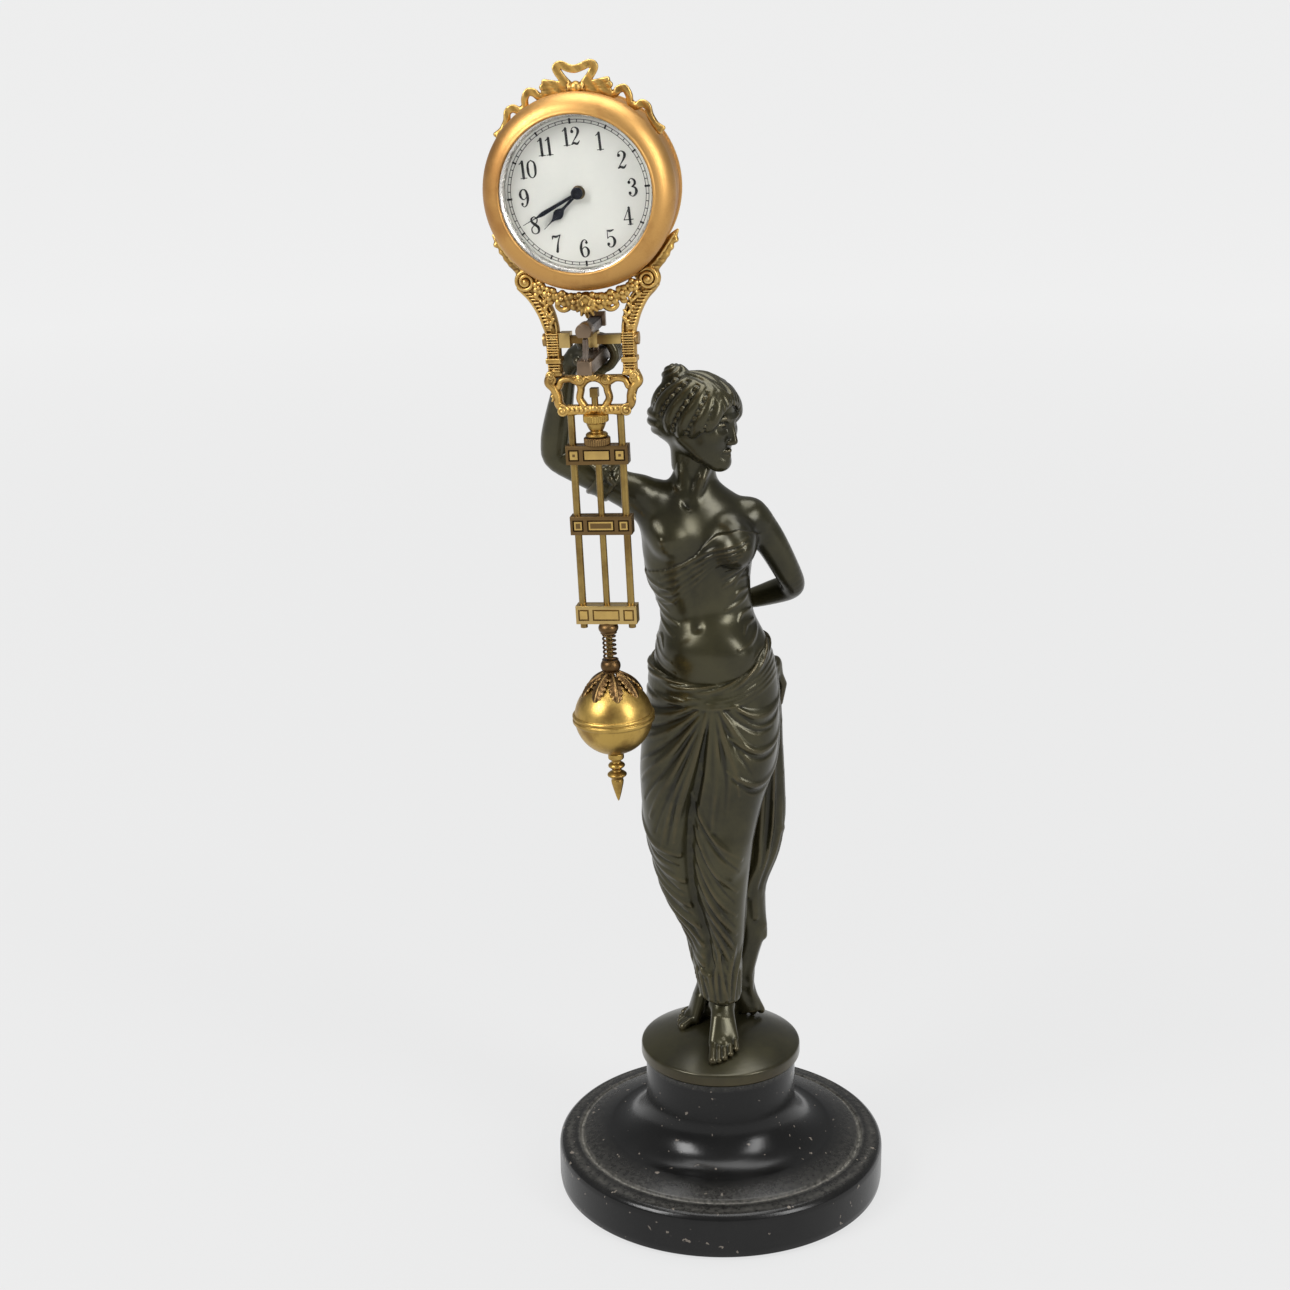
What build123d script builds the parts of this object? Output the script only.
"""Swinging mystery clock: a draped bronze figure holds up a free-swinging gilt clock.

All sizes are in millimetres.  The origin is the centre of the base's underside, +Z is up and the
dial faces -Y.  The clock is drawn upright in its own frame, with the swing axis through its origin
along Y, and is then hung on the figure's bracket with one placement.
"""
import math
import os

from build123d import *

os.makedirs("parts", exist_ok=True)

# Stand
base_radius = 54.0
base_foot_height = 16.0
base_edge_round = 2.6
rim_width = 7.5
groove_radius = base_radius - rim_width
groove_depth = 0.7
neck_radius = 24.6
base_height = 46.0
figure_drawn_above = 46.0
felt_thickness = 1.0
felt_inset = 4.0
felt_radius = base_radius - felt_inset
cap_radius = 26.2
cap_band_height = 4.6
cap_dome_rise = 5.4
stud_radius = 3.0
stud_clearance = 0.25
counterbore_radius = 11.0
counterbore_depth = 12.0
washer_radius = 8.0
washer_thickness = 1.6
nut_across_flats = 10.0
nut_height = 5.0

# Swing axis and the way the clock hangs in the photograph
pivot_x = -34.0
pivot_y = -30.0
pivot_z = 291.5
hang_tilt = -2.5
pin_offset = 8.0
pin_radius = 0.9
pin_point_height = 1.5
cup_radius = 1.1
pivot_clearance = 0.05

# Bracket in the hand
bracket_width = 4.4
bracket_top = -7.5
bracket_height = 4.0
bracket_front = -10.6
bracket_rear = 21.0

# Clock case, measured from the swing axis
case_z = 39.9
bezel_radius = 27.3
dial_opening_radius = 21.3
band_radius = 26.3
band_wall = 0.8
band_front = -5.0
band_rear = 12.0
bezel_front = -10.8
glass_front = -9.6
glass_thickness = 0.8
glass_radius = 22.4
dial_thickness = 1.0
dial_radius = 25.9
cover_radius = 26.9
cover_thickness = 0.9
plate_front_y = -1.5
plate_rear_y = 8.0
plate_thickness = 1.0
pillar_radius = 1.5
pillar_circle = 20.5
pillar_count = 4
rear_plate_radius = 22.6
motion_post_radius = 0.6

# Hands, at about twenty to eight
minute_turn = 242.4
hour_turn = 225.2
minute_length = 18.2
hour_length = 14.0
hand_thickness = 0.4
hour_hand_y = -6.7
minute_hand_y = -7.7
hub_radius = 1.7
hub_front = -8.5

# Wheels
arbor_radius = 1.0
pipe_radius = 1.6
running_gap = 0.05
open_gap = 0.4
motion_module = 0.35
cannon_teeth = 12
minute_wheel_teeth = 36
minute_pinion_teeth = 10
hour_wheel_teeth = 40
train_pinion_teeth = 8
train_wheel_teeth = 48
barrel_module = 0.40
centre_module = 0.35
third_module = 0.30
escape_teeth = 15
escape_radius = 4.6
depth_ease = 1.03

# Rounded end of a limb: reach beyond the last joint and ring size, as shares of its radius
round_end = ((0.95, 0.25), (0.72, 0.66))

# Pendulum below the case
frame_depth = 4.0
leg_outer = 13.1
leg_inner = 9.15
leg_bottom = -13.4
leg_bend = -0.4
crossbar_size = 4.3
crossbar_top = -0.6
crossbar_collar = 3.2
saddle_width = 3.4
saddle_height = 3.0
saddle_length = 20.4
bridge_half_width = 11.6
bridge_top = -13.4
bridge_bottom = -24.8
bridge_depth = 3.2
rod_spacing = 7.4
side_rod_radius = 1.1
centre_rod_radius = 1.0
bar_width = 18.6
bar_height = 5.6
bar_depth = 4.6
bar_heights = (-36.9, -58.3, -86.0)
panel_relief = 0.35
side_rod_end = -90.4
centre_rod_top = -17.2
centre_rod_end = -137.0

# Rating parts
upper_collar_bottom = -92.2
lower_collar_top = -100.5
lower_collar_bottom = -104.6
collar_radius = 3.05
spring_mean_radius = 1.85
spring_wire = 0.6
spring_turns = 5
spring_pitch = 1.10
ball_z = -118.8
ball_radius = 11.9
ball_wall = 1.2
belt_radius = 12.6
belt_height = 3.0
calyx_thickness = 0.8
calyx_leaves = 8
finial_top = -130.7
finial_tip = -146.5
rating_travel = 2.0

standing = Location((0, 0, base_height - figure_drawn_above))
hang = standing * Location((pivot_x, pivot_y, pivot_z), (0, hang_tilt, 0))
case_axis = Axis((0, 0, case_z), (0, 1, 0))


def hand_in(piece, label, place=None):
    """Name one piece, put it in the shared frame and write its file."""
    solid = piece.part if place is None else piece.part.moved(place)
    solid.label = label
    export_step(solid, f"parts/{label}.step")


def facing(y):
    """Plane that faces the viewer at depth y: sketch x is X, sketch y is Z."""
    return Plane.XZ.offset(-y)


def tooth_ring(teeth, module, phase):
    """Corner points of a wheel with straight-flanked teeth; phase turns it, in degrees."""
    tip = module * (teeth / 2 + 0.85)
    root = module * (teeth / 2 - 1.15)
    step = 360 / teeth
    corners = []
    for tooth in range(teeth):
        middle = phase + tooth * step
        for radius, part in ((root, -0.27), (tip, -0.09), (tip, 0.09), (root, 0.27)):
            angle = math.radians(middle + part * step)
            corners.append((radius * math.cos(angle), radius * math.sin(angle)))
    return corners


def meshing_phase(phase, teeth, mate_teeth, direction):
    """Phase that puts the mate's gap on this wheel's tooth along a direction, in degrees."""
    offset = ((direction - phase) * teeth / 360) % 1
    return direction + 180 - (0.5 - offset) * 360 / mate_teeth


def round_cone(start, start_radius, end, end_radius):
    """Two balls joined by the cone that touches both, added to the open part."""
    begin = Vector(*start)
    along = Vector(*end) - begin
    length = along.length
    lean = (start_radius - end_radius) / length
    shrink = math.sqrt(1 - lean * lean)
    foot = begin + along * (start_radius * lean / length)
    height = length - (start_radius - end_radius) * lean
    with Locations(Plane(origin=foot, z_dir=along)):
        Cone(
            start_radius * shrink,
            end_radius * shrink,
            height,
            align=(Align.CENTER, Align.CENTER, Align.MIN),
        )
    with Locations(begin):
        Sphere(start_radius)
    with Locations(Vector(*end)):
        Sphere(end_radius)


def limb(joints):
    """Limb lofted through (point, radius) rings square to its run, with rounded ends."""
    spots = [Vector(*point) for point, _ in joints]
    last = len(spots) - 1
    runs = [(spots[min(i + 1, last)] - spots[max(i - 1, 0)]).normalized() for i in range(last + 1)]
    sides = (Vector(1, 0, 0), Vector(0, 1, 0), Vector(0, 0, 1))
    side = min(sides, key=lambda axis: max(abs(axis.dot(run)) for run in runs))
    first_radius = joints[0][1]
    last_radius = joints[last][1]
    stations = [(spots[0] - runs[0] * first_radius * reach, runs[0], first_radius * share)
                for reach, share in round_end]
    stations += [(spot, run, radius) for spot, run, (_, radius) in zip(spots, runs, joints)]
    stations += [(spots[last] + runs[last] * last_radius * reach, runs[last], last_radius * share)
                 for reach, share in reversed(round_end)]
    rings = []
    for spot, run, radius in stations:
        with BuildSketch(Plane(origin=spot, x_dir=side - run * side.dot(run), z_dir=run)) as ring:
            Circle(radius)
        rings.append(ring.sketch)
    loft(rings)


# Wooden base, turned in one piece, with the fixing hidden in a counterbore

sweep_radius = neck_radius + 0.303 * (groove_radius - 0.8 - neck_radius)
sweep_height = base_foot_height + 1.0 + 0.243 * (base_height - base_foot_height - 7.0)

with BuildPart() as wooden_base:
    with BuildSketch(Plane.XZ):
        with BuildLine():
            Polyline(
                (counterbore_radius, 0),
                (base_radius - base_edge_round, 0),
            )
            ThreePointArc(
                (base_radius - base_edge_round, 0),
                (base_radius - 0.3, 1.2),
                (base_radius, 3.2),
            )
            Line((base_radius, 3.2), (base_radius, base_foot_height - base_edge_round))
            ThreePointArc(
                (base_radius, base_foot_height - base_edge_round),
                (base_radius - 0.3 * base_edge_round, base_foot_height - 0.3 * base_edge_round),
                (base_radius - base_edge_round, base_foot_height),
            )
            Polyline(
                (base_radius - base_edge_round, base_foot_height),
                (groove_radius + 0.8, base_foot_height + 0.6),
                (groove_radius + 0.4, base_foot_height + 0.6 - groove_depth),
                (groove_radius - 0.4, base_foot_height + 0.6 - groove_depth),
                (groove_radius - 0.8, base_foot_height + 1.0),
            )
            ThreePointArc(
                (groove_radius - 0.8, base_foot_height + 1.0),
                (sweep_radius, sweep_height),
                (neck_radius, base_height - 6.0),
            )
            Polyline(
                (neck_radius, base_height - 6.0),
                (neck_radius, base_height),
                (stud_radius + stud_clearance, base_height),
                (stud_radius + stud_clearance, counterbore_depth),
                (counterbore_radius, counterbore_depth),
                (counterbore_radius, 0),
            )
        make_face()
    revolve(axis=Axis.Z)
    with BuildSketch(Plane.XY):
        Circle(felt_radius)
    extrude(amount=felt_thickness, mode=Mode.SUBTRACT)
hand_in(wooden_base, "wooden_base")

with BuildPart() as base_felt:
    Cylinder(felt_radius, felt_thickness, align=(Align.CENTER, Align.CENTER, Align.MIN))
hand_in(base_felt, "base_felt")

stud_bottom = counterbore_depth - washer_thickness - nut_height - 1.0
dome_top = base_height + cap_band_height + cap_dome_rise
dome_radius = ((cap_radius - 0.8) ** 2 + cap_dome_rise**2) / (2 * cap_dome_rise)
dome_angle = math.asin((cap_radius - 0.8) / dome_radius)

with BuildPart() as plinth_cap:
    with BuildSketch(Plane.XZ):
        with BuildLine():
            Polyline(
                (0, base_height),
                (cap_radius - 0.6, base_height),
                (cap_radius, base_height + 0.6),
                (cap_radius, base_height + cap_band_height - 0.8),
                (cap_radius - 0.8, base_height + cap_band_height),
            )
            ThreePointArc(
                (cap_radius - 0.8, base_height + cap_band_height),
                (
                    dome_radius * math.sin(dome_angle / 2),
                    dome_top - dome_radius * (1 - math.cos(dome_angle / 2)),
                ),
                (0, dome_top),
            )
            Line((0, dome_top), (0, base_height))
        make_face()
    revolve(axis=Axis.Z)
    with Locations((0, 0, base_height)):
        Cylinder(
            stud_radius,
            cap_band_height,
            align=(Align.CENTER, Align.CENTER, Align.MIN),
            mode=Mode.SUBTRACT,
        )
hand_in(plinth_cap, "plinth_cap")
cap_under_figure = plinth_cap.part.moved(standing.inverse())

with BuildPart() as fixing_stud:
    with Locations((0, 0, stud_bottom)):
        Cylinder(
            stud_radius,
            base_height + cap_band_height - stud_bottom,
            align=(Align.CENTER, Align.CENTER, Align.MIN),
        )
    chamfer(fixing_stud.edges().group_by(Axis.Z)[0], 0.5)
hand_in(fixing_stud, "fixing_stud")

with BuildPart() as fixing_washer:
    with BuildSketch(Plane.XY.offset(counterbore_depth - washer_thickness)):
        Circle(washer_radius)
        Circle(stud_radius + stud_clearance, mode=Mode.SUBTRACT)
    extrude(amount=washer_thickness)
hand_in(fixing_washer, "fixing_washer")

with BuildPart() as fixing_nut:
    with BuildSketch(Plane.XY.offset(counterbore_depth - washer_thickness - nut_height)):
        RegularPolygon(nut_across_flats / 2, 6, major_radius=False)
        Circle(stud_radius, mode=Mode.SUBTRACT)
    extrude(amount=nut_height)
hand_in(fixing_nut, "fixing_nut")

# Figure, cast in pieces.  Each body station: height, centre x, centre y, half width, half depth

skirt_stations = (
    (66.0, 0.4, -3.0, 5.6, 7.6),
    (78.0, -1.7, -0.6, 7.2, 9.0),
    (90.0, -1.6, 0.4, 8.8, 10.2),
    (104.0, -5.0, 0.6, 12.9, 12.0),
    (121.0, -6.0, 0.4, 16.2, 14.0),
    (135.0, -5.9, 0.0, 18.8, 15.4),
    (150.0, -3.9, 0.0, 21.4, 16.4),
    (164.0, -3.0, 0.4, 21.2, 16.6),
    (175.0, -2.6, 0.8, 20.6, 16.0),
    (186.0, -2.8, 1.2, 18.2, 13.8),
)
fold_count = 9
fold_relief = 0.035
section_points = 36
waist_height = skirt_stations[-1][0]


def draped_ring(station, relief):
    """Closed curve of one skirt section: an oval with fold waves, deepest at the front."""
    height, centre_x, centre_y, half_width, half_depth = station
    ring = []
    for step in range(section_points):
        angle = 2 * math.pi * step / section_points
        front = 0.5 - 0.5 * math.sin(angle)
        swell = 1 + relief * front * math.cos(fold_count * (angle + math.pi / 2))
        ring.append(
            (
                centre_x + half_width * swell * math.cos(angle),
                centre_y + half_depth * swell * math.sin(angle),
                height,
            )
        )
    return ring


with BuildPart() as figure_skirt:
    for station in skirt_stations:
        share = (waist_height - station[0]) / (waist_height - skirt_stations[0][0])
        with BuildSketch(Plane.XY.offset(station[0])):
            with BuildLine():
                Spline(
                    [point[:2] for point in draped_ring(station, fold_relief * min(1, 2.2 * share))],
                    periodic=True,
                )
            make_face()
    loft()
hand_in(figure_skirt, "figure_skirt", standing)

# Torso station: height, centre x, centre y, half width, half depth, turn of the chest to +X

torso_stations = (
    (186.0, -2.8, 1.2, 18.2, 13.8, 0),
    (198.0, -4.6, 1.6, 14.4, 11.4, 6),
    (210.0, -7.2, 0.8, 15.8, 11.6, 12),
    (221.0, -7.6, 0.6, 17.4, 12.0, 18),
    (231.0, -7.6, 1.2, 17.6, 10.6, 22),
    (238.0, -8.2, 1.6, 11.6, 8.0, 24),
    (243.0, -9.0, 1.6, 7.0, 6.4, 24),
    (252.0, -8.6, 0.6, 6.0, 6.0, 24),
)
breast_radius = 6.6
right_shoulder = (-23.0, -5.4, 238.6)
left_shoulder = (9.0, 6.4, 229.4)

with BuildPart() as figure_torso:
    for height, centre_x, centre_y, half_width, half_depth, turn in torso_stations:
        with BuildSketch(Plane((centre_x, centre_y, height))):
            Ellipse(half_width, half_depth, rotation=turn)
    loft()
    for breast in ((-14.6, -7.8, 225.6), (4.2, -4.8, 222.8)):
        with Locations(breast):
            Sphere(breast_radius)
    round_cone(right_shoulder, 6.0, (-12.0, 0.2, 236.6), 6.4)
    round_cone(left_shoulder, 5.6, (-2.0, 2.6, 233.4), 6.4)
hand_in(figure_torso, "figure_torso", standing)

# Head: the face looks to +X and a little forward; the features are those of a plain mask

head_centre = Vector(-8.4, 0.6, 262.0)
face_way = Vector(0.87, -0.49, 0.0)
face_side = Vector(0.49, 0.87, 0.0)


def on_head(forward, side, up):
    """Point given along the way the face looks, to the head's left and upward."""
    return tuple(head_centre + face_way * forward + face_side * side + Vector(0, 0, up))


# Head station: height, middle of the section along the face's way, half length, half width

head_stations = (
    (-14.6, 8.4, 2.2, 2.4),
    (-13.0, 7.8, 4.0, 4.0),
    (-9.6, 4.8, 7.8, 6.6),
    (-6.0, 1.6, 11.6, 9.8),
    (-1.0, 0.2, 13.6, 11.8),
    (4.0, -0.2, 14.0, 12.2),
    (8.6, -0.8, 12.8, 11.0),
    (11.8, -1.2, 9.6, 8.2),
    (13.8, -1.4, 4.0, 3.4),
)
face_turn = math.degrees(math.atan2(face_way.Y, face_way.X))

with BuildPart() as figure_head:
    for up, forward, half_length, half_width in head_stations:
        with BuildSketch(Plane(on_head(forward, 0, up))):
            Ellipse(half_length, half_width, rotation=face_turn)
    loft()
    with Locations(on_head(-8.6, 0, 9.4)):
        Sphere(5.6)
    limb(((on_head(12.0, 0, 0.0), 1.0), (on_head(13.4, 0, -4.2), 1.5)))
    add(figure_torso.part, mode=Mode.SUBTRACT)
hand_in(figure_head, "figure_head", standing)

elbow = (-49.6, -10.0, 248.6)
wrist = (-44.6, -13.2, 277.6)

with BuildPart() as hand_bracket:
    with BuildSketch(Plane.XY.offset(pivot_z + bracket_top - bracket_height)):
        with Locations((pivot_x, pivot_y + (bracket_front + bracket_rear) / 2)):
            Rectangle(bracket_width, bracket_rear - bracket_front)
    extrude(amount=bracket_height)
    chamfer(hand_bracket.edges().filter_by(Axis.Z), 0.5)
    with Locations(
        (pivot_x, pivot_y - pin_offset, pivot_z + bracket_top),
        (pivot_x, pivot_y + pin_offset, pivot_z + bracket_top),
    ):
        Hole(pin_radius, bracket_height - 0.8)
hand_in(hand_bracket, "hand_bracket", standing)

with BuildPart() as pivot_pins:
    for side in (-pin_offset, pin_offset):
        with BuildSketch(Plane.XZ.offset(-side)):
            with BuildLine():
                Polyline(
                    (0, bracket_top - bracket_height + 0.8),
                    (pin_radius, bracket_top - bracket_height + 0.8),
                    (pin_radius, -pin_point_height),
                    (0, 0),
                    close=True,
                )
            make_face()
        revolve(axis=Axis((0, side, 0), (0, 0, 1)))
hand_in(pivot_pins, "pivot_pins", standing * Location((pivot_x, pivot_y, pivot_z)))

fist = (-34.4, -14.0, 282.0)
finger_rows = (-17.6, -15.2, -12.8, -10.4)

with BuildPart() as raised_arm:
    limb(
        (
            (right_shoulder, 5.6),
            ((-31.0, -8.0, 240.4), 5.2),
            ((-41.6, -9.6, 244.8), 4.7),
            (elbow, 4.2),
            ((-48.6, -11.2, 258.0), 4.4),
            ((-46.6, -12.4, 268.0), 3.6),
            (wrist, 2.8),
            ((-40.5, -13.6, 280.6), 4.0),
            (fist, 5.3),
            ((-30.2, -14.0, 282.2), 4.5),
        )
    )
    for row in finger_rows:
        limb(
            (
                ((-36.4, row, 286.6), 1.2),
                ((-31.0, row, 287.0), 1.4),
                ((-27.2, row, 283.4), 1.4),
                ((-27.6, row, 279.0), 1.3),
                ((-31.0, row, 276.8), 1.1),
            )
        )
    limb((((-41.0, -16.4, 281.6), 1.7), ((-38.0, -19.0, 284.6), 1.5), ((-34.6, -18.6, 286.6), 1.2)))
    add(figure_torso.part, mode=Mode.SUBTRACT)
    add(hand_bracket.part, mode=Mode.SUBTRACT)
hand_in(raised_arm, "raised_arm", standing)

armlet_run = Vector(-10.6, -1.6, 4.4).normalized()
armlet_at = Vector(-35.0, -8.7, 242.0)
armlet_half = 2.6

with BuildPart() as armlet:
    for reach, radius in ((-armlet_half, 6.0), (0, 6.3), (armlet_half, 5.8)):
        with BuildSketch(Plane(armlet_at + armlet_run * reach, x_dir=(0, 1, 0.36), z_dir=armlet_run)):
            Circle(radius)
    loft()
    with Locations((-33.6, -13.4, 245.4)):
        Sphere(1.9)
    add(raised_arm.part, mode=Mode.SUBTRACT)
    add(figure_torso.part, mode=Mode.SUBTRACT)
hand_in(armlet, "armlet", standing)

with BuildPart() as bent_arm:
    limb(
        (
            (left_shoulder, 5.2),
            ((15.2, 9.0, 218.0), 4.8),
            ((19.6, 11.6, 208.8), 4.2),
            ((21.2, 14.4, 203.4), 3.9),
            ((17.2, 18.0, 201.0), 4.0),
            ((9.4, 19.6, 198.0), 3.4),
            ((0.6, 18.2, 195.6), 2.5),
            ((-5.0, 15.6, 195.0), 2.6),
        )
    )
    add(figure_torso.part, mode=Mode.SUBTRACT)
hand_in(bent_arm, "bent_arm", standing)

drape_stations = (
    (57.0, 5.6, 12.4, 5.0, 2.2),
    (75.0, 5.4, 11.6, 4.8, 2.6),
    (90.0, 6.4, 11.8, 6.0, 3.4),
    (105.0, 4.8, 12.6, 7.4, 4.0),
    (121.0, 10.0, 12.0, 9.0, 4.6),
    (140.0, 10.6, 11.6, 8.2, 5.2),
    (160.0, 12.0, 10.6, 7.4, 6.0),
    (176.0, 12.4, 8.6, 6.6, 6.2),
)

with BuildPart() as back_drape:
    for height, centre_x, centre_y, half_width, half_depth in drape_stations:
        with BuildSketch(Plane((centre_x, centre_y, height))):
            Ellipse(half_width, half_depth, rotation=24)
    loft()
    add(figure_skirt.part, mode=Mode.SUBTRACT)
    add(cap_under_figure, mode=Mode.SUBTRACT)
hand_in(back_drape, "back_drape", standing)

with BuildPart() as front_foot:
    limb(
        (
            ((1.0, -4.4, 70.0), 4.2),
            ((1.2, -5.0, 61.0), 4.0),
            ((2.2, -9.4, 56.8), 3.6),
            ((3.4, -15.0, 54.6), 2.8),
        )
    )
    for toe in range(5):
        spread = toe - 2
        limb(
            (
                ((3.3 + 1.1 * spread, -14.4 + 0.3 * abs(spread), 54.4), 1.35),
                ((4.4 + 1.75 * spread, -19.4 + 0.5 * abs(spread), 53.4), 1.2),
            )
        )
    with Locations((0, 0, skirt_stations[0][0])):
        Box(40, 40, 20, align=(Align.CENTER, Align.CENTER, Align.MIN), mode=Mode.SUBTRACT)
    add(cap_under_figure, mode=Mode.SUBTRACT)
hand_in(front_foot, "front_foot", standing)

with BuildPart() as rear_foot:
    limb(
        (
            ((-5.0, 6.4, 72.0), 3.9),
            ((-5.6, 6.8, 61.6), 3.7),
            ((-8.4, 4.8, 57.4), 3.3),
            ((-11.6, 2.0, 55.6), 2.5),
        )
    )
    for toe in range(5):
        spread = toe - 2
        limb(
            (
                ((-11.2 + 0.7 * spread, 2.4 - 0.9 * spread, 55.4), 1.25),
                ((-14.4 + 0.9 * spread, -0.6 - 1.0 * spread, 54.6), 1.1),
            )
        )
    add(figure_skirt.part, mode=Mode.SUBTRACT)
    add(cap_under_figure, mode=Mode.SUBTRACT)
    add(front_foot.part, mode=Mode.SUBTRACT)
    add(back_drape.part, mode=Mode.SUBTRACT)
hand_in(rear_foot, "rear_foot", standing)

# Clock case

with BuildPart() as bezel:
    with BuildSketch(Plane.XY.offset(case_z)):
        with BuildLine():
            ThreePointArc(
                (bezel_radius, -2.0),
                (bezel_radius - 1.6, bezel_front + 1.4),
                (dial_opening_radius + 1.2, bezel_front),
            )
            Polyline(
                (dial_opening_radius + 1.2, bezel_front),
                (dial_opening_radius, bezel_front + 0.5),
                (dial_opening_radius, glass_front),
                (glass_radius, glass_front),
            )
            ThreePointArc(
                (glass_radius, glass_front),
                (band_radius - 0.6, -8.0),
                (band_radius, band_front),
            )
            Polyline((band_radius, band_front), (band_radius, -2.0), (bezel_radius, -2.0))
        make_face()
    revolve(axis=case_axis)
hand_in(bezel, "bezel", hang)

with BuildPart() as glass:
    with BuildSketch(facing(glass_front + glass_thickness)):
        with Locations((0, case_z)):
            Circle(glass_radius)
    extrude(amount=glass_thickness)
hand_in(glass, "glass", hang)

with BuildPart() as dial:
    with BuildSketch(facing(band_front)):
        with Locations((0, case_z)):
            Circle(dial_radius)
            Circle(pipe_radius + open_gap, mode=Mode.SUBTRACT)
    extrude(amount=dial_thickness)
hand_in(dial, "dial", hang)

with BuildPart() as case_band:
    with BuildSketch(facing(band_rear)):
        with Locations((0, case_z)):
            Circle(band_radius)
            Circle(band_radius - band_wall, mode=Mode.SUBTRACT)
    extrude(amount=band_rear - band_front)
hand_in(case_band, "case_band", hang)

barrel_way = 225
barrel_reach = barrel_module * (train_wheel_teeth + train_pinion_teeth) / 2 * depth_ease
third_way = 20
third_reach = centre_module * (train_wheel_teeth + train_pinion_teeth) / 2 * depth_ease
escape_way = 100
escape_reach = third_module * (train_wheel_teeth + train_pinion_teeth) / 2 * depth_ease
motion_way = 300
motion_reach = motion_module * (cannon_teeth + minute_wheel_teeth) / 2 * depth_ease


def polar(reach, way, start=(0, 0)):
    """Point at a reach and a direction, in degrees, from a start point on the plates."""
    angle = math.radians(way)
    return (start[0] + reach * math.cos(angle), start[1] + reach * math.sin(angle))


centre_at = (0, case_z)
barrel_at = polar(barrel_reach, barrel_way, centre_at)
third_at = polar(third_reach, third_way, centre_at)
escape_at = polar(escape_reach, escape_way, third_at)
motion_at = polar(motion_reach, motion_way, centre_at)
pallet_at = (4.0, case_z + 18.5)

cover_hole = arbor_radius + open_gap

with BuildPart() as back_cover:
    with BuildSketch(Plane.XY.offset(case_z)):
        with BuildLine():
            Polyline(
                (0, band_rear + 0.6),
                (band_radius - band_wall, band_rear),
                (cover_radius, band_rear),
                (cover_radius, band_rear + 0.5),
                (band_radius - 0.8, band_rear + cover_thickness),
                (0, band_rear + cover_thickness + 0.8),
                close=True,
            )
        make_face()
    revolve(axis=case_axis)
    with BuildSketch(facing(band_rear + 4)):
        with Locations(centre_at, barrel_at):
            Circle(cover_hole)
    extrude(amount=6, mode=Mode.SUBTRACT)
hand_in(back_cover, "back_cover", hang)

arbor_holes = (centre_at, barrel_at, third_at, escape_at, pallet_at)
hole_size = {centre_at: 1.0, barrel_at: 1.0, third_at: 0.6, escape_at: 0.6, pallet_at: 0.6}
pillar_spots = [polar(pillar_circle, 18 + 90 * corner, centre_at) for corner in range(pillar_count)]


with BuildPart() as front_plate:
    with BuildSketch(facing(plate_front_y + plate_thickness)):
        with Locations(centre_at):
            Circle(band_radius - band_wall)
        for spot in arbor_holes:
            with Locations(spot):
                Circle(hole_size[spot] + running_gap, mode=Mode.SUBTRACT)
    extrude(amount=plate_thickness)
    with BuildSketch(facing(plate_front_y)):
        with Locations(motion_at):
            Circle(motion_post_radius)
    extrude(amount=3.2)
hand_in(front_plate, "front_plate", hang)

with BuildPart() as rear_plate:
    with BuildSketch(facing(plate_rear_y + plate_thickness)):
        with Locations(centre_at):
            Circle(rear_plate_radius)
        for spot in arbor_holes:
            with Locations(spot):
                Circle(hole_size[spot] + running_gap, mode=Mode.SUBTRACT)
    extrude(amount=plate_thickness)
hand_in(rear_plate, "rear_plate", hang)

with BuildPart() as plate_pillars:
    with BuildSketch(facing(plate_rear_y)):
        with Locations(*pillar_spots):
            Circle(pillar_radius)
    extrude(amount=plate_rear_y - plate_front_y - plate_thickness)
hand_in(plate_pillars, "plate_pillars", hang)

# Motion work: cannon pinion, minute wheel with its pinion, hour wheel

cannon_phase = 0
minute_wheel_phase = meshing_phase(cannon_phase, cannon_teeth, minute_wheel_teeth, motion_way)
minute_pinion_phase = minute_wheel_phase
hour_wheel_phase = meshing_phase(
    minute_pinion_phase, minute_pinion_teeth, hour_wheel_teeth, motion_way + 180
)
hour_module = 2 * motion_reach / depth_ease / (minute_pinion_teeth + hour_wheel_teeth)

with BuildPart() as hour_wheel:
    with BuildSketch(facing(-3.7)):
        with Locations(centre_at):
            Polygon(*tooth_ring(hour_wheel_teeth, hour_module, hour_wheel_phase), align=None)
            Circle(arbor_radius + running_gap, mode=Mode.SUBTRACT)
    extrude(amount=0.8)
    with BuildSketch(facing(-4.5)):
        with Locations(centre_at):
            Circle(pipe_radius)
            Circle(arbor_radius + running_gap, mode=Mode.SUBTRACT)
    extrude(amount=2.6)
hand_in(hour_wheel, "hour_wheel", hang)

with BuildPart() as minute_wheel:
    with BuildSketch(facing(-2.4)):
        with Locations(motion_at):
            Polygon(*tooth_ring(minute_wheel_teeth, motion_module, minute_wheel_phase), align=None)
            Circle(motion_post_radius + running_gap, mode=Mode.SUBTRACT)
    extrude(amount=0.8)
    with BuildSketch(facing(-3.2)):
        with Locations(motion_at):
            Polygon(*tooth_ring(minute_pinion_teeth, hour_module, minute_pinion_phase), align=None)
            Circle(motion_post_radius + running_gap, mode=Mode.SUBTRACT)
    extrude(amount=1.4)
hand_in(minute_wheel, "minute_wheel", hang)

# Going train: barrel, centre arbor, third wheel, escape wheel and the pallets' short pendulum

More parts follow.
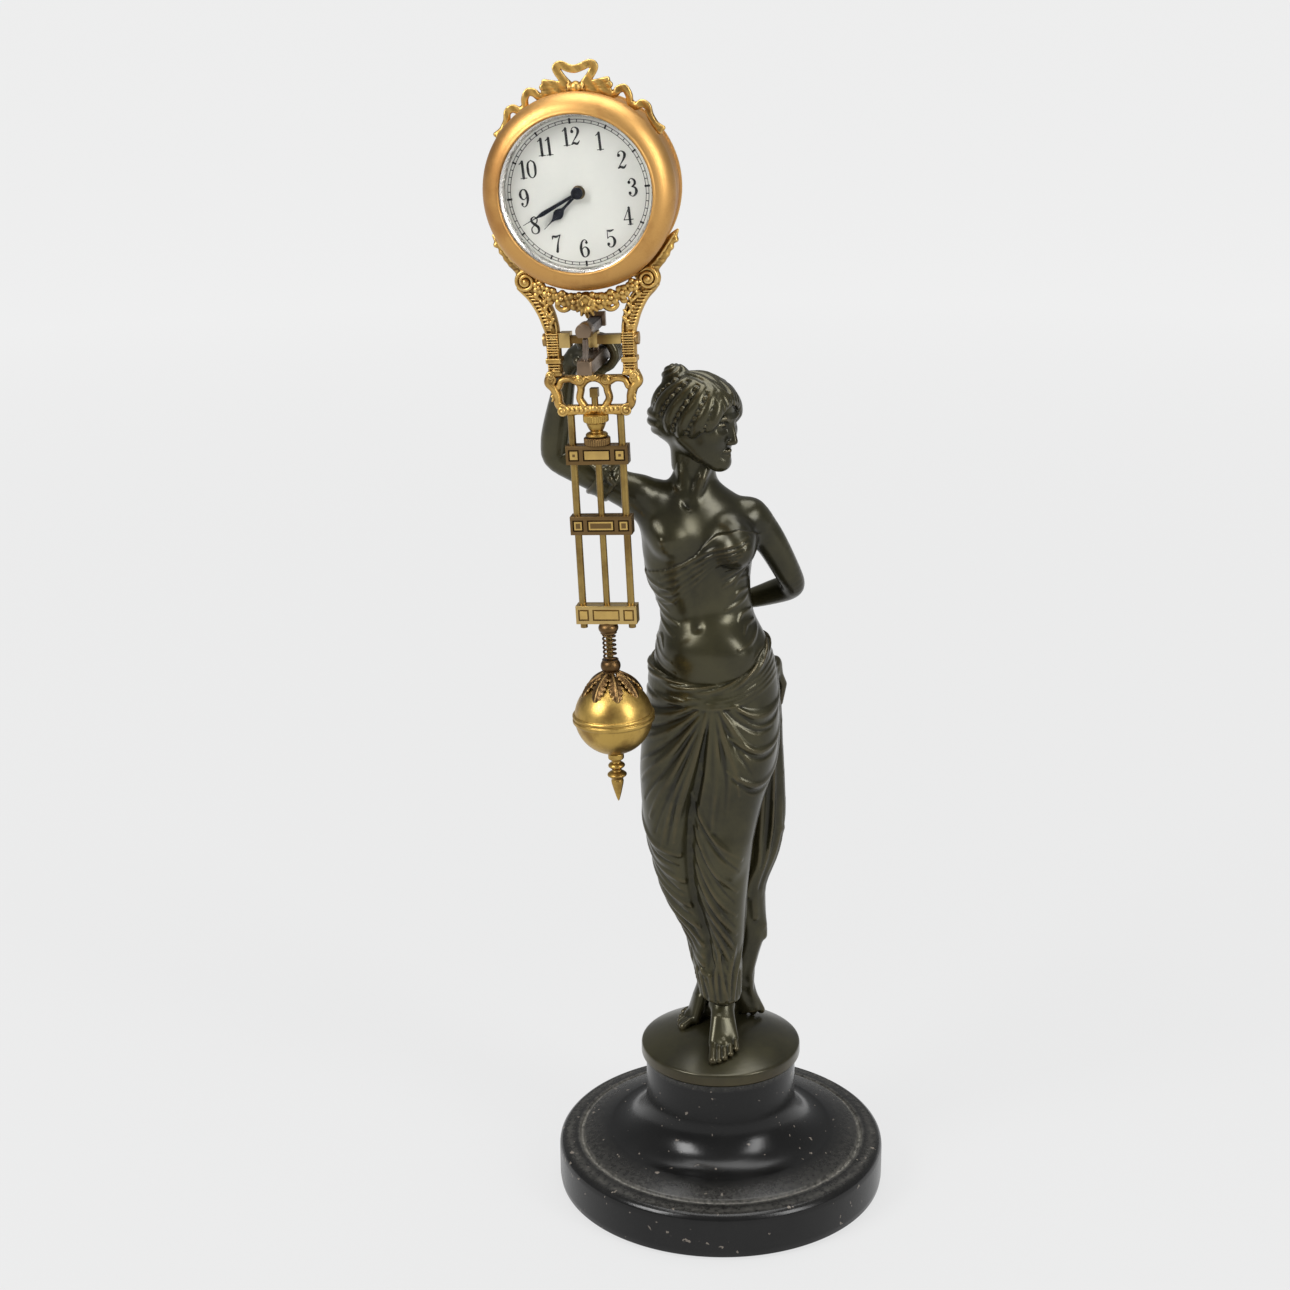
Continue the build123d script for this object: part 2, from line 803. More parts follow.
centre_pinion_phase = 0
barrel_phase = meshing_phase(centre_pinion_phase, train_pinion_teeth, train_wheel_teeth, barrel_way)
centre_wheel_phase = 0
third_pinion_phase = meshing_phase(
    centre_wheel_phase, train_wheel_teeth, train_pinion_teeth, third_way
)
third_wheel_phase = third_pinion_phase
escape_pinion_phase = meshing_phase(
    third_wheel_phase, train_wheel_teeth, train_pinion_teeth, escape_way
)

with BuildPart() as centre_arbor:
    with BuildSketch(facing(15.0)):
        with Locations(centre_at):
            Circle(arbor_radius)
    extrude(amount=15.0 - minute_hand_y - hand_thickness)
    with BuildSketch(facing(-2.2)):
        with Locations(centre_at):
            Polygon(*tooth_ring(cannon_teeth, motion_module, cannon_phase), align=None)
    extrude(amount=1.2)
    with BuildSketch(facing(6.4)):
        with Locations(centre_at):
            Polygon(*tooth_ring(train_pinion_teeth, barrel_module, centre_pinion_phase), align=None)
    extrude(amount=2.4)
    with BuildSketch(facing(1.2)):
        with Locations(centre_at):
            Polygon(*tooth_ring(train_wheel_teeth, centre_module, centre_wheel_phase), align=None)
    extrude(amount=0.8)
hand_in(centre_arbor, "centre_arbor", hang)

barrel_drum_radius = 8.2

with BuildPart() as barrel:
    with BuildSketch(facing(6.2)):
        with Locations(barrel_at):
            Polygon(*tooth_ring(train_wheel_teeth, barrel_module, barrel_phase), align=None)
            Circle(arbor_radius + running_gap, mode=Mode.SUBTRACT)
    extrude(amount=1.0)
    with BuildSketch(facing(5.2)):
        with Locations(barrel_at):
            Circle(barrel_drum_radius)
            Circle(barrel_drum_radius - 0.6, mode=Mode.SUBTRACT)
    extrude(amount=3.2)
hand_in(barrel, "barrel", hang)

mainspring_turns = 5
mainspring_inner = 3.4
mainspring_outer = barrel_drum_radius - 1.0

with BuildPart() as mainspring:
    with BuildSketch(facing(5.0)):
        with BuildLine() as spiral:
            half_turns = 2 * mainspring_turns
            growth = (mainspring_outer - mainspring_inner) / half_turns
            for half in range(half_turns):
                inner = mainspring_inner + half * growth
                outer = inner + growth
                way = 1 if half % 2 == 0 else -1
                ThreePointArc(
                    (barrel_at[0] + way * inner, barrel_at[1]),
                    (barrel_at[0] + way * (inner - outer) / 2, barrel_at[1] + way * (inner + outer) / 2),
                    (barrel_at[0] - way * outer, barrel_at[1]),
                )
        trace(line_width=0.22)
    extrude(amount=2.8)
hand_in(mainspring, "mainspring", hang)

with BuildPart() as barrel_arbor:
    with BuildSketch(facing(16.4)):
        with Locations(barrel_at):
            Circle(arbor_radius)
    extrude(amount=16.4 - plate_front_y)
hand_in(barrel_arbor, "barrel_arbor", hang)

with BuildPart() as third_wheel:
    with BuildSketch(facing(plate_rear_y + plate_thickness)):
        with Locations(third_at):
            Circle(0.6)
    extrude(amount=plate_rear_y + plate_thickness - plate_front_y)
    with BuildSketch(facing(1.8)):
        with Locations(third_at):
            Polygon(*tooth_ring(train_pinion_teeth, centre_module, third_pinion_phase), align=None)
    extrude(amount=2.0)
    with BuildSketch(facing(3.0)):
        with Locations(third_at):
            Polygon(*tooth_ring(train_wheel_teeth, third_module, third_wheel_phase), align=None)
    extrude(amount=0.8)
hand_in(third_wheel, "third_wheel", hang)

with BuildPart() as escape_wheel:
    with BuildSketch(facing(plate_rear_y + plate_thickness)):
        with Locations(escape_at):
            Circle(0.6)
    extrude(amount=plate_rear_y + plate_thickness - plate_front_y)
    with BuildSketch(facing(3.6)):
        with Locations(escape_at):
            Polygon(*tooth_ring(train_pinion_teeth, third_module, escape_pinion_phase), align=None)
    extrude(amount=2.0)
    with BuildSketch(facing(5.6)):
        with Locations(escape_at):
            Circle(escape_radius - 1.0)
            with PolarLocations(0, escape_teeth):
                Polygon(
                    (escape_radius - 1.4, -0.55),
                    (escape_radius, 0.10),
                    (escape_radius, 0.25),
                    (escape_radius - 1.4, 0.15),
                    align=None,
                )
    extrude(amount=0.6)
hand_in(escape_wheel, "escape_wheel", hang)

pallet_way = math.degrees(math.atan2(pallet_at[1] - escape_at[1], pallet_at[0] - escape_at[0]))
pallet_gap = 0.7
pallet_span = 50
pallet_rod_length = 27.0

with BuildPart() as pallet_pendulum:
    with BuildSketch(facing(plate_rear_y + plate_thickness)):
        with Locations(pallet_at):
            Circle(0.6)
    extrude(amount=plate_rear_y + plate_thickness - plate_front_y)
    with BuildSketch(facing(5.6)):
        with BuildLine():
            low = polar(escape_radius + pallet_gap, pallet_way - pallet_span, escape_at)
            middle = polar(escape_radius + pallet_gap, pallet_way, escape_at)
            high = polar(escape_radius + pallet_gap, pallet_way + pallet_span, escape_at)
            low_out = polar(escape_radius + pallet_gap + 0.9, pallet_way - pallet_span, escape_at)
            middle_out = polar(escape_radius + pallet_gap + 0.9, pallet_way, escape_at)
            high_out = polar(escape_radius + pallet_gap + 0.9, pallet_way + pallet_span, escape_at)
            ThreePointArc(low, middle, high)
            Line(high, high_out)
            ThreePointArc(high_out, middle_out, low_out)
            Line(low_out, low)
        make_face()
        with Locations(pallet_at):
            Circle(2.0)
    extrude(amount=0.6)
    with BuildSketch(facing(7.4)):
        with Locations(pallet_at):
            Circle(1.4)
        with Locations((pallet_at[0], pallet_at[1] - pallet_rod_length / 2)):
            Rectangle(0.9, pallet_rod_length)
        with Locations((pallet_at[0], pallet_at[1] - pallet_rod_length)):
            Circle(2.6)
    extrude(amount=0.7)
hand_in(pallet_pendulum, "pallet_pendulum", hang)

with BuildPart() as set_knob:
    with BuildSketch(facing(16.4)):
        with Locations(centre_at):
            Circle(3.0)
            with PolarLocations(3.05, 20):
                Circle(0.22, mode=Mode.SUBTRACT)
    extrude(amount=1.8)
    with BuildSketch(facing(15.0)):
        with Locations(centre_at):
            Circle(arbor_radius)
    extrude(amount=0.6, mode=Mode.SUBTRACT)
hand_in(set_knob, "set_knob", hang)

with BuildPart() as winding_key:
    with BuildSketch(facing(18.4)):
        with Locations(barrel_at):
            Circle(2.2)
            Circle(arbor_radius, mode=Mode.SUBTRACT)
    extrude(amount=3.8)
    with BuildSketch(facing(22.6)):
        with Locations(barrel_at):
            Rectangle(3.2, 1.2)
            with Locations((3.6, 0), (-3.6, 0)):
                Circle(2.5)
                Circle(1.1, mode=Mode.SUBTRACT)
    extrude(amount=1.2)
    with BuildSketch(facing(21.4)):
        with Locations(barrel_at):
            Rectangle(5.4, 1.2)
    extrude(amount=3.0)
hand_in(winding_key, "winding_key", hang)

# Hands, drawn pointing up and turned to the time


def hand_plane(y, turn):
    """Plane at depth y on the case axis whose sketch y points along a hand, turned clockwise."""
    return Plane(
        origin=(0, y, case_z),
        x_dir=(math.cos(math.radians(turn)), 0, -math.sin(math.radians(turn))),
        z_dir=(0, -1, 0),
    )


with BuildPart() as hour_hand:
    with BuildSketch(hand_plane(hour_hand_y, hour_turn)):
        with BuildLine():
            Polyline((0.45, 1.2), (0.5, 5.0))
            ThreePointArc((0.5, 5.0), (1.75, 6.9), (1.15, 8.2))
            Line((1.15, 8.2), (0.18, hour_length))
            Line((0.18, hour_length), (-0.18, hour_length))
            Line((-0.18, hour_length), (-1.15, 8.2))
            ThreePointArc((-1.15, 8.2), (-1.75, 6.9), (-0.5, 5.0))
            Polyline((-0.5, 5.0), (-0.45, 1.2), (0.45, 1.2))
        make_face()
        Circle(2.2)
        Circle(pipe_radius, mode=Mode.SUBTRACT)
    extrude(amount=hand_thickness)
hand_in(hour_hand, "hour_hand", hang)

with BuildPart() as minute_hand:
    with BuildSketch(hand_plane(minute_hand_y, minute_turn)):
        Circle(hub_radius)
        Polygon(
            (0.45, 0),
            (0.72, 7.0),
            (0.55, 10.5),
            (0.12, minute_length),
            (-0.12, minute_length),
            (-0.55, 10.5),
            (-0.72, 7.0),
            (-0.45, 0),
            align=None,
        )
        Circle(arbor_radius, mode=Mode.SUBTRACT)
    extrude(amount=hand_thickness)
    with BuildSketch(hand_plane(minute_hand_y - hand_thickness, minute_turn)):
        Circle(hub_radius)
    extrude(amount=minute_hand_y - hand_thickness - hub_front)
hand_in(minute_hand, "minute_hand", hang)

# Ribbon crest on top of the case

ribbon_depth = 2.4

with BuildPart() as ribbon_crest:
    with BuildSketch(facing(ribbon_depth / 2)):
        with BuildLine() as bow_loop:
            Spline(
                (-1.6, 69.0),
                (-5.6, 72.6),
                (-5.0, 75.0),
                (0.0, 74.0),
                (5.0, 75.0),
                (5.6, 72.6),
                (1.6, 69.0),
            )
        trace(line_width=1.6)
        with Locations((0, 68.4)):
            Circle(2.1)
        for side in (-1, 1):
            with BuildLine():
                Spline(
                    (side * 1.0, 68.2),
                    (side * 5.2, 70.2),
                    (side * 8.8, 67.2),
                    (side * 12.8, 66.6),
                    (side * 15.0, 63.6),
                    (side * 18.6, 62.6),
                    (side * 21.2, 57.8),
                )
            trace(line_width=2.0)
        with Locations(centre_at):
            Circle(band_radius, mode=Mode.SUBTRACT)
        with Locations((0, 67.0)):
            Rectangle(9.0, 1.6)
        with Locations(centre_at):
            Circle(band_radius, mode=Mode.SUBTRACT)
    extrude(amount=ribbon_depth)
hand_in(ribbon_crest, "ribbon_crest", hang)

# Lyre frame, swag, crossbar and saddle

volute_x = 17.9
volute_z = 14.6
volute_radius = 3.4


def sector(inner, outer, start, end):
    """Annular sector round the case axis, added to the open sketch; angles in degrees."""
    middle = (start + end) / 2
    with BuildLine() as outline:
        ThreePointArc(
            polar(outer, start, centre_at),
            polar(outer, middle, centre_at),
            polar(outer, end, centre_at),
        )
        Line(polar(outer, end, centre_at), polar(inner, end, centre_at))
        ThreePointArc(
            polar(inner, end, centre_at),
            polar(inner, middle, centre_at),
            polar(inner, start, centre_at),
        )
        Line(polar(inner, start, centre_at), polar(outer, start, centre_at))
    make_face(outline.edges())


with BuildPart() as lyre_frame:
    with BuildSketch(facing(frame_depth / 2)):
        sector(band_radius, band_radius + 2.0, -120, -60)
        for side in (-1, 1):
            with BuildLine():
                ThreePointArc(
                    polar(band_radius, -90 + side * 62, centre_at),
                    polar(band_radius, -90 + side * 46, centre_at),
                    polar(band_radius, -90 + side * 30, centre_at),
                )
                Line(
                    polar(band_radius, -90 + side * 30, centre_at),
                    polar(band_radius + 4.6, -90 + side * 30, centre_at),
                )
                ThreePointArc(
                    polar(band_radius + 4.6, -90 + side * 30, centre_at),
                    polar(band_radius + 4.0, -90 + side * 46, centre_at),
                    polar(band_radius + 2.6, -90 + side * 61, centre_at),
                )
                Line(
                    polar(band_radius + 2.6, -90 + side * 61, centre_at),
                    polar(band_radius, -90 + side * 62, centre_at),
                )
            make_face()
            with Locations((side * volute_x, volute_z)):
                Circle(volute_radius)
            with BuildLine():
                ThreePointArc(
                    (side * (volute_x + 2.6), volute_z - 1.6),
                    (side * 15.4, 6.4),
                    (side * leg_outer, leg_bend),
                )
                Polyline(
                    (side * leg_outer, leg_bend),
                    (side * leg_outer, leg_bottom),
                    (side * leg_inner, leg_bottom),
                    (side * leg_inner, leg_bend),
                )
                ThreePointArc(
                    (side * leg_inner, leg_bend),
                    (side * 11.0, 7.0),
                    (side * (volute_x - 3.0), volute_z),
                )
                Line(
                    (side * (volute_x - 3.0), volute_z),
                    (side * (volute_x + 2.6), volute_z - 1.6),
                )
            make_face()
            with Locations((side * 13.0, leg_bottom + 0.6)):
                Circle(1.9)
        with Locations(centre_at):
            Circle(band_radius, mode=Mode.SUBTRACT)
    extrude(amount=frame_depth)
    for side in (-1, 1):
        with BuildSketch(facing(frame_depth / 2 + 0.5)):
            with Locations((side * (leg_outer + leg_inner) / 2, -8.6)):
                Rectangle(leg_outer - leg_inner + 0.8, 1.6)
        extrude(amount=frame_depth + 1.0)
        with BuildSketch(facing(-frame_depth / 2)):
            with Locations((side * volute_x, volute_z)):
                Circle(2.6)
        extrude(amount=0.9, taper=20)
    with BuildSketch(Plane.YZ.offset(-leg_outer - 2)):
        with Locations((0, crossbar_top - crossbar_size / 2)):
            Circle(1.2)
    extrude(amount=2 * leg_outer + 4, mode=Mode.SUBTRACT)
hand_in(lyre_frame, "lyre_frame", hang)

swag_reach = 31.4
swag_depth = 1.6
blossom_count = 9
blossom_radius = 1.9
blossom_rise = 1.5

with BuildPart() as flower_garland:
    blossoms = []
    for blossom in range(blossom_count):
        spread = 2 * blossom / (blossom_count - 1) - 1
        spot = polar(swag_reach - 1.3 * spread * spread, -90 + 27 * spread, centre_at)
        blossoms.append((spot, blossom_radius + 1.1 * (1 - abs(spread))))
    with BuildSketch(facing(-frame_depth / 2)):
        sector(bezel_radius + 0.75, swag_reach - 1.0, -116, -64)
        for spot, reach in blossoms:
            with Locations(spot):
                Circle(reach)
        for side in (-1, 1):
            with BuildLine():
                Spline((side * 4.0, 9.0), (side * 6.6, 6.4), (side * 8.8, 7.4), (side * 8.4, 9.4))
            trace(line_width=1.8)
    extrude(amount=swag_depth)
    for spot, reach in blossoms:
        with BuildSketch(facing(-frame_depth / 2 - swag_depth)):
            with Locations(spot):
                Circle(0.78 * reach)
        extrude(amount=blossom_rise, taper=28)
hand_in(flower_garland, "flower_garland", hang)

crossbar_z = crossbar_top - crossbar_size / 2

with BuildPart() as crossbar:
    with Locations((0, 0, crossbar_z)):
        Box(crossbar_size, crossbar_size, crossbar_size)
    with Locations((leg_inner / 2 + crossbar_size / 4, 0, crossbar_z)):
        Box(leg_inner - crossbar_size / 2, 3.4, 2.6)
    with Locations((-leg_inner / 2 - crossbar_size / 4, 0, crossbar_z)):
        Box(leg_inner - crossbar_size / 2, 2.2, 2.2)
    with Locations((-leg_inner + crossbar_collar / 2, 0, crossbar_z)):
        Box(crossbar_collar, crossbar_size, crossbar_size)
    for side in (-1, 1):
        with BuildSketch(Plane.YZ.offset(side * leg_inner)):
            with Locations((0, crossbar_z)):
                Circle(1.2)
        extrude(amount=side * (leg_outer - leg_inner))
hand_in(crossbar, "crossbar", hang)

with BuildPart() as crossbar_screws:
    for side in (-1, 1):
        with BuildSketch(Plane.YZ.offset(side * leg_outer)):
            with Locations((0, crossbar_z)):
                Circle(1.9)
        extrude(amount=side * 1.1)
        with BuildSketch(Plane.YZ.offset(side * (leg_outer + 1.1))):
            with Locations((0, crossbar_z)):
                Rectangle(0.5, 4)
        extrude(amount=-side * 0.5, mode=Mode.SUBTRACT)
hand_in(crossbar_screws, "crossbar_screws", hang)

with BuildPart() as saddle:
    with Locations((0, 0, crossbar_top + saddle_height / 2)):
        Box(saddle_width, saddle_length, saddle_height)
    fillet(saddle.edges().filter_by(Axis.Y).group_by(Axis.Z)[-1], 0.6)
    with BuildSketch(facing(-saddle_length / 2 + 4.4)):
        with Locations((0, crossbar_top + saddle_height / 2 + 0.3)):
            Circle(2.3)
    extrude(amount=5.2)
    with BuildSketch(facing(saddle_length / 2 + 0.6)):
        with Locations((0, crossbar_top + saddle_height / 2 + 0.4)):
            Rectangle(5.2, 4.6)
    extrude(amount=1.8)
    with Locations((0, 0, crossbar_top - 2)):
        Box(8, 30, 4, align=(Align.CENTER, Align.CENTER, Align.CENTER), mode=Mode.SUBTRACT)
    for side in (-pin_offset, pin_offset):
        with BuildSketch(Plane.XZ.offset(-side)):
            with BuildLine():
                Polyline(
                    (0, crossbar_top),
                    (cup_radius, crossbar_top),
                    (0, pivot_clearance),
                    close=True,
                )
            make_face()
        revolve(axis=Axis((0, side, 0), (0, 0, 1)), mode=Mode.SUBTRACT)
hand_in(saddle, "saddle", hang)

# Openwork bridge, rods and bars

with BuildPart() as openwork_bridge:
    with BuildSketch(facing(bridge_depth / 2)):
        with BuildLine():
            Line((-leg_outer, bridge_top), (leg_outer, bridge_top))
            ThreePointArc(
                (leg_outer, bridge_top),
                (bridge_half_width + 0.4, bridge_top - 5.0),
                (rod_spacing + 2.0, bridge_bottom),
            )
            Line((rod_spacing + 2.0, bridge_bottom), (-rod_spacing - 2.0, bridge_bottom))
            ThreePointArc(
                (-rod_spacing - 2.0, bridge_bottom),
                (-bridge_half_width - 0.4, bridge_top - 5.0),
                (-leg_outer, bridge_top),
            )
        make_face()
        with Locations((0, -18.2)):
            Circle(3.3, mode=Mode.SUBTRACT)
        for side in (-1, 1):
            with Locations((side * 7.2, -18.2)):
                Ellipse(2.5, 3.5, mode=Mode.SUBTRACT)
    extrude(amount=bridge_depth)
    with BuildSketch(Plane.XY.offset(bridge_bottom)):
        with Locations((-rod_spacing, 0), (rod_spacing, 0)):
            Circle(side_rod_radius)
    extrude(amount=2.0, mode=Mode.SUBTRACT)
    with BuildSketch(Plane.XY.offset(bridge_bottom)):
        Circle(centre_rod_radius)
    extrude(amount=6.0, mode=Mode.SUBTRACT)
    add(lyre_frame.part, mode=Mode.SUBTRACT)
hand_in(openwork_bridge, "openwork_bridge", hang)

with BuildPart() as side_rods:
    with BuildSketch(Plane.XY.offset(side_rod_end)):
        with Locations((-rod_spacing, 0), (rod_spacing, 0)):
            Circle(side_rod_radius)
    extrude(amount=bridge_bottom + 2.0 - side_rod_end)
hand_in(side_rods, "side_rods", hang)

with BuildPart() as centre_rod:
    with BuildSketch(Plane.XY.offset(centre_rod_end)):
        Circle(centre_rod_radius)
    extrude(amount=centre_rod_top - 2.6 - centre_rod_end)
    with Locations((0, 0, centre_rod_top - 1.3)):
        Box(2.4, 2.4, 2.6)
hand_in(centre_rod, "centre_rod", hang)


def panel_bar(middle):
    """Crossbar of the rod grid with two square panels and a long one, front and back."""
    with BuildPart() as bar:
        with Locations((0, 0, middle)):
            Box(bar_width, bar_depth, bar_height)
        for rear in (bar_depth / 2, -bar_depth / 2 + panel_relief):
            with BuildSketch(facing(rear)):
                for place, width in ((-6.9, 3.2), (0, 8.2), (6.9, 3.2)):
                    with Locations((place, middle)):
                        Rectangle(width, 3.4)
                        Rectangle(width - 1.0, 2.4, mode=Mode.SUBTRACT)
            extrude(amount=panel_relief, mode=Mode.SUBTRACT)
        with BuildSketch(Plane.XY.offset(middle - bar_height / 2)):
            with Locations((-rod_spacing, 0), (rod_spacing, 0)):
                Circle(side_rod_radius)
            Circle(centre_rod_radius)
        extrude(amount=bar_height, mode=Mode.SUBTRACT)
    return bar


for label, middle in zip(("upper_bar", "middle_bar", "lower_bar"), bar_heights):
    hand_in(panel_bar(middle), label, hang)

bar_top = bar_heights[0] + bar_height / 2
disc_height = 2.4

with BuildPart() as vase_nut:
    with BuildSketch(Plane.XZ):
        with BuildLine():
            Polyline(
                (centre_rod_radius, bridge_bottom),
                (3.0, bridge_bottom),
                (3.9, bridge_bottom - 0.7),
                (3.9, bridge_bottom - 2.3),
                (2.9, bridge_bottom - 2.8),
            )
            ThreePointArc(
                (2.9, bridge_bottom - 2.8),
                (2.2, bridge_bottom - 4.2),
                (2.6, bridge_bottom - 5.4),
            )
            Polyline(
                (2.6, bridge_bottom - 5.4),
                (3.5, bridge_bottom - 5.8),
                (3.5, bar_top + disc_height),
                (centre_rod_radius, bar_top + disc_height),
                (centre_rod_radius, bridge_bottom),
            )
        make_face()
    revolve(axis=Axis.Z)
hand_in(vase_nut, "vase_nut", hang)

with BuildPart() as knurled_disc:
    with BuildSketch(Plane.XY.offset(bar_top)):
        Circle(3.95)
        Circle(centre_rod_radius, mode=Mode.SUBTRACT)
        with PolarLocations(4.0, 24):
            Circle(0.22, mode=Mode.SUBTRACT)
    extrude(amount=disc_height)
hand_in(knurled_disc, "knurled_disc", hang)


def bead_collar(top, bottom, bore):
    """Turned collar with one bead between two flat ends."""
    middle = (top + bottom) / 2
    with BuildPart() as collar:
        with BuildSketch(Plane.XZ):
            with BuildLine():
                Polyline((bore, bottom), (2.5, bottom), (2.5, bottom + 0.5))
                ThreePointArc((2.5, bottom + 0.5), (collar_radius, middle), (2.5, top - 0.5))
                Polyline((2.5, top - 0.5), (2.5, top), (bore, top), (bore, bottom))
            make_face()
        revolve(axis=Axis.Z)
    return collar


slide_bore = centre_rod_radius + running_gap
lower_bar_bottom = bar_heights[2] - bar_height / 2
hand_in(bead_collar(lower_bar_bottom, upper_collar_bottom, centre_rod_radius), "upper_collar", hang)
hand_in(bead_collar(lower_collar_top, lower_collar_bottom, slide_bore), "lower_collar", hang)

# Rating spring: one tube on biarcs through quarter turns, with straight ends on the collars


def biarc(start, start_way, end, end_way):
    """Two arcs that leave start and reach end along the given directions; also their joint."""
    chord = end - start
    ways = start_way + end_way
    spread = 4 - ways.dot(ways)
    reach = (-chord.dot(ways) + math.sqrt(chord.dot(ways) ** 2 + spread * chord.dot(chord))) / spread
    first = start + start_way * reach
    second = end - end_way * reach
    joint = (first + second) * 0.5
    TangentArc(start, joint, tangent=start_way)
    TangentArc(joint, end, tangent=(second - first).normalized())


spring_length = upper_collar_bottom - lower_collar_top
lead_angle = math.atan2(spring_pitch, 2 * math.pi * spring_mean_radius)
coil_start = lower_collar_top + (spring_length - spring_turns * spring_pitch) / 2
run_in = math.radians(60)


def coil_point(turn):
    """Point of the coil at a turn angle, in radians."""
    return Vector(
        spring_mean_radius * math.cos(turn),
        spring_mean_radius * math.sin(turn),
        coil_start + spring_pitch * turn / (2 * math.pi),
    )


def coil_way(turn):
    """Direction of the coil at a turn angle."""
    return Vector(
        -math.sin(turn) * math.cos(lead_angle),
        math.cos(turn) * math.cos(lead_angle),
        math.sin(lead_angle),
    )


coil_end = 2 * math.pi * spring_turns
up = Vector(0, 0, 1)
foot_spot = Vector(
    spring_mean_radius * math.cos(-run_in), spring_mean_radius * math.sin(-run_in), lower_collar_top
)
head_spot = Vector(
    spring_mean_radius * math.cos(coil_end + run_in),
    spring_mean_radius * math.sin(coil_end + run_in),
    upper_collar_bottom,
)

with BuildPart() as rating_spring:
    with BuildLine() as spring_path:
        Line(foot_spot, foot_spot + up * spring_wire)
        biarc(foot_spot + up * spring_wire, up, coil_point(0), coil_way(0))
        for quarter in range(4 * spring_turns):
            begin = quarter * math.pi / 2
            finish = begin + math.pi / 2
            biarc(coil_point(begin), coil_way(begin), coil_point(finish), coil_way(finish))
        biarc(coil_point(coil_end), coil_way(coil_end), head_spot - up * spring_wire, up)
        Line(head_spot - up * spring_wire, head_spot)
    with BuildSketch(Plane(origin=foot_spot, z_dir=up)):
        Circle(spring_wire / 2)
    sweep(path=spring_path.wires()[0])
hand_in(rating_spring, "rating_spring", hang)

spring_wire_path = spring_path.wires()[0]
samples = [spring_wire_path.position_at(step / 480) for step in range(481)]
self_gap = min(
    (samples[i] - samples[j]).length - spring_wire
    for i in range(len(samples))
    for j in range(i + 30, len(samples))
)
print("rating spring, least gap to itself (mm):", round(self_gap, 3))

# Bob: two hemispheres, the lower one with the belt as its rim, a heavy core and a leaf calyx.
# The finial nut below it rates the clock.


def half_ball(sign):
    """Hollow half of the bob with the rod's bore; sign is 1 for the upper half."""
    with BuildPart() as half:
        with BuildSketch(Plane.XZ):
            with Locations((0, ball_z)):
                Circle(ball_radius)
                Circle(ball_radius - ball_wall, mode=Mode.SUBTRACT)
            with Locations((slide_bore, ball_z)):
                Rectangle(
                    20, 20 * sign, align=(Align.MIN, Align.MIN if sign > 0 else Align.MAX),
                    mode=Mode.INTERSECT,
                )
        revolve(axis=Axis.Z)
    return half


ball_upper = half_ball(1)
hand_in(ball_upper, "ball_upper", hang)

with BuildPart() as ball_lower:
    add(half_ball(-1).part)
    with BuildSketch(Plane.XZ):
        with BuildLine():
            belt_low = ball_z - belt_height / 2
            belt_high = ball_z + belt_height / 2
            belt_inner = math.sqrt(ball_radius**2 - (belt_height / 2) ** 2)
            ThreePointArc((belt_inner, belt_low), (ball_radius, ball_z), (belt_inner, belt_high))
            Line((belt_inner, belt_high), (belt_radius - 0.3, belt_high))
            ThreePointArc(
                (belt_radius - 0.3, belt_high), (belt_radius, belt_high - 0.8), (belt_radius - 0.3, ball_z)
            )
            ThreePointArc(
                (belt_radius - 0.3, ball_z), (belt_radius, belt_low + 0.8), (belt_radius - 0.3, belt_low)
            )
            Line((belt_radius - 0.3, belt_low), (belt_inner, belt_low))
        make_face()
    revolve(axis=Axis.Z)
hand_in(ball_lower, "ball_lower", hang)

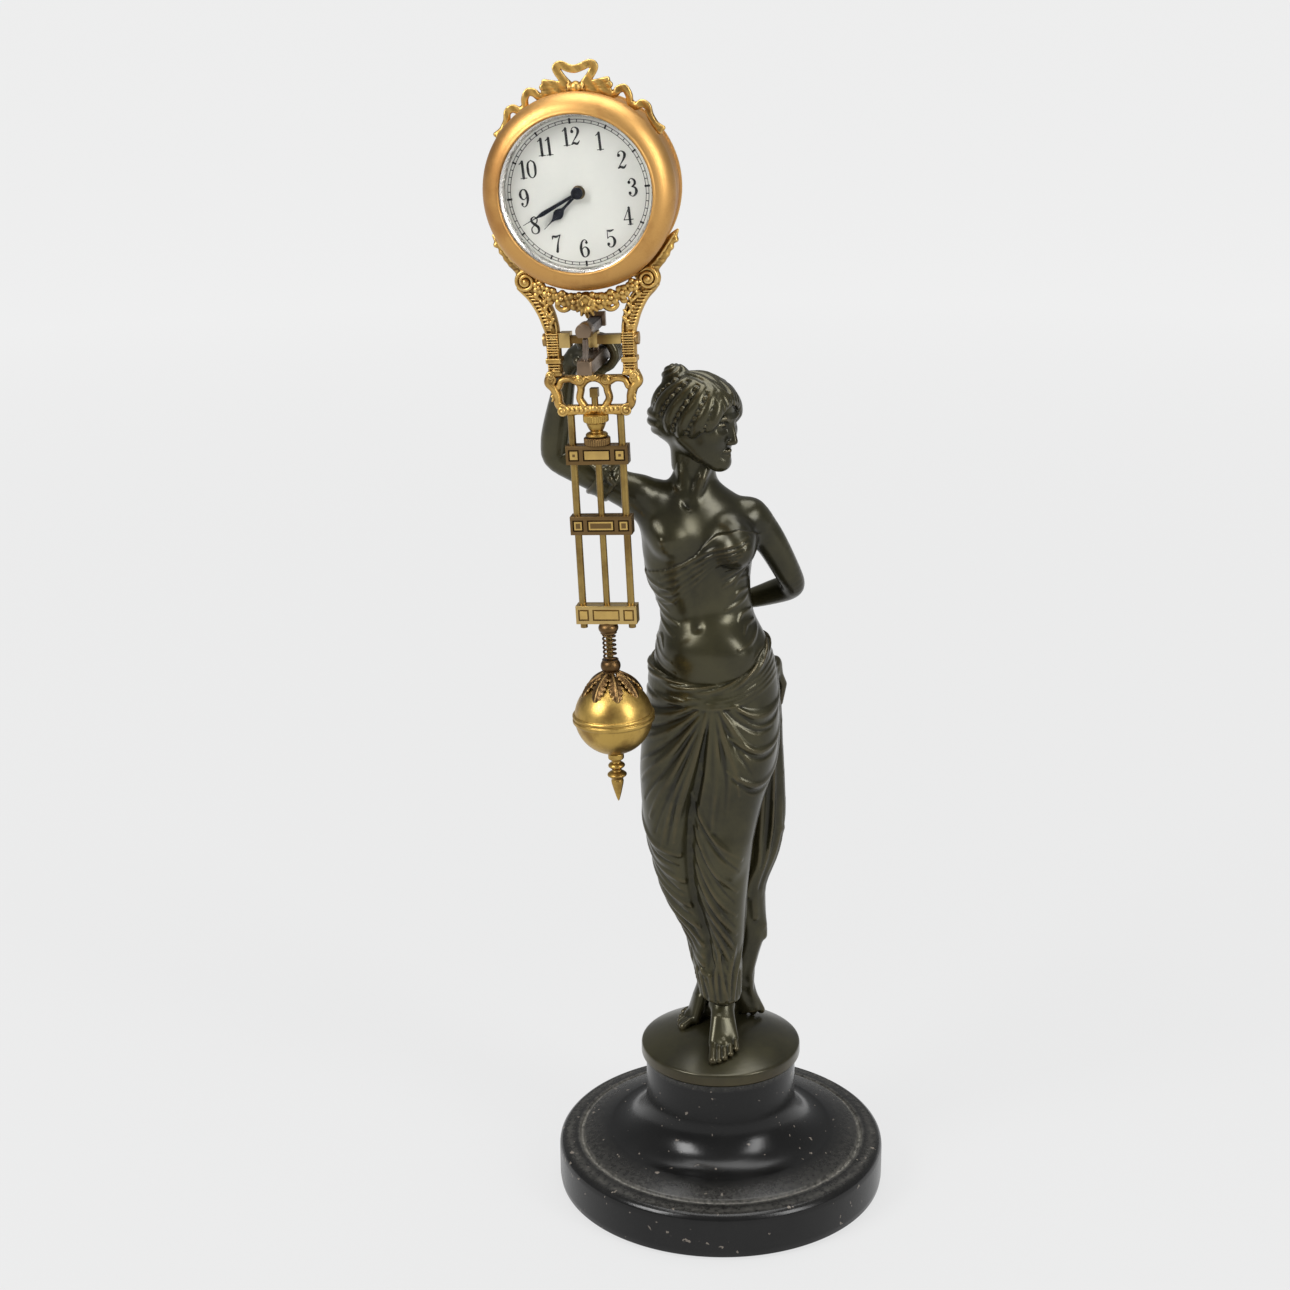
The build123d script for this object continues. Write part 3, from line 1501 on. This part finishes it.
with BuildPart() as bob_core:
    with BuildSketch(Plane.XZ):
        with Locations((0, ball_z)):
            Circle(ball_radius - ball_wall)
        with Locations((slide_bore, ball_z)):
            Rectangle(20, 40, align=(Align.MIN, Align.CENTER), mode=Mode.INTERSECT)
    revolve(axis=Axis.Z)
hand_in(bob_core, "bob_core", hang)

calyx_reach = 46
calyx_low = ball_z + ball_radius * math.cos(math.radians(calyx_reach))

with BuildPart() as leaf_calyx:
    with BuildSketch(Plane.XZ):
        with Locations((0, ball_z)):
            Circle(ball_radius + calyx_thickness)
            Circle(ball_radius, mode=Mode.SUBTRACT)
        with Locations((slide_bore, calyx_low)):
            Rectangle(14, 20, align=(Align.MIN, Align.MIN), mode=Mode.INTERSECT)
    revolve(axis=Axis.Z)
    with BuildSketch(Plane.XZ):
        with BuildLine():
            Polyline(
                (slide_bore, lower_collar_bottom),
                (3.0, lower_collar_bottom),
                (3.4, ball_z + ball_radius),
                (slide_bore, ball_z + ball_radius),
                close=True,
            )
        make_face()
    revolve(axis=Axis.Z)
    with BuildSketch(Plane.XY.offset(calyx_low - 1)):
        with PolarLocations(0, calyx_leaves):
            Polygon((6.2, 0), (12.0, -1.9), (12.0, 1.9), align=None)
    extrude(amount=9.0, mode=Mode.SUBTRACT)
    add(ball_upper.part, mode=Mode.SUBTRACT)
hand_in(leaf_calyx, "leaf_calyx", hang)

with BuildPart() as finial_nut:
    with BuildSketch(Plane.XZ):
        with BuildLine():
            Polyline(
                (centre_rod_radius + running_gap, finial_top),
                (2.7, finial_top),
                (2.7, finial_top - 2.6),
                (1.7, finial_top - 3.2),
            )
            ThreePointArc(
                (1.7, finial_top - 3.2), (2.6, finial_top - 4.2), (1.7, finial_top - 5.2)
            )
            ThreePointArc(
                (1.7, finial_top - 5.2), (3.0, finial_top - 6.6), (1.8, finial_top - 8.0)
            )
            Polyline(
                (1.8, finial_top - 8.0),
                (1.9, finial_top - 9.4),
                (0.15, finial_tip),
                (0, finial_tip),
                (0, centre_rod_end - rating_travel - 0.6),
                (centre_rod_radius + running_gap, centre_rod_end - rating_travel - 0.6),
                (centre_rod_radius + running_gap, finial_top),
            )
        make_face()
    revolve(axis=Axis.Z)
hand_in(finial_nut, "finial_nut", hang)
